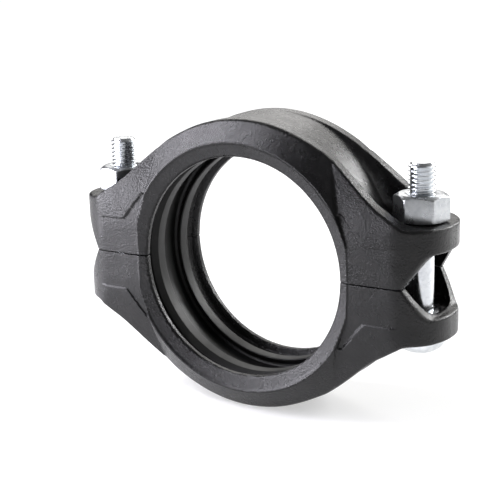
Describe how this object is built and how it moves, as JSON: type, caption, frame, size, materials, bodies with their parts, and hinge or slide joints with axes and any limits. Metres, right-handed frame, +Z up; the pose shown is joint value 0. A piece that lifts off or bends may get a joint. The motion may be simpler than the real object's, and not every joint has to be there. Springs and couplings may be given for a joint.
{
  "type": "grooved pipe coupling",
  "caption": "Two-part bolted coupling with a rubber gasket, for joining pipe ends that have rolled or cut grooves.",
  "frame": {"origin": "centre of the pipe bore, on the parting plane between the two housings", "axes": "+Y along the pipe axis, +X from the bore to the right-hand bolt, +Z up along the bolts towards the nuts"},
  "size_m": [0.1936, 0.0534, 0.1386],
  "materials": {
    "housing": "semi-gloss black paint over a rough sand casting",
    "gasket": "moulded black rubber",
    "zinc": "bright zinc plate"
  },
  "bodies": {
    "base": {"lower_housing": "housing", "gasket": "gasket", "bolt_right": "zinc", "bolt_left": "zinc"},
    "upper": {"upper_housing": "housing"},
    "right_nut": {"nut_right": "zinc"},
    "left_nut": {"nut_left": "zinc"}
  },
  "joints": [
    {"name": "housing_lift", "type": "slide", "parent": "base", "child": "upper", "axis": [0, 0, 1], "range_m": [0, 0.0135]},
    {"name": "nut_right_turn", "type": "hinge", "parent": "upper", "child": "right_nut", "pos_m": [0.08094, 0, 0.0263], "axis": [0, 0, 1], "range_deg": [0, 2500]},
    {"name": "nut_left_turn", "type": "hinge", "parent": "upper", "child": "left_nut", "pos_m": [-0.08094, 0, 0.0263], "axis": [0, 0, 1], "range_deg": [0, 2500]}
  ],
  "couplings": [
    {"joint": "nut_right_turn", "follows": "housing_lift", "rad_per_m": 3215},
    {"joint": "nut_left_turn", "follows": "housing_lift", "rad_per_m": 3215}
  ]
}
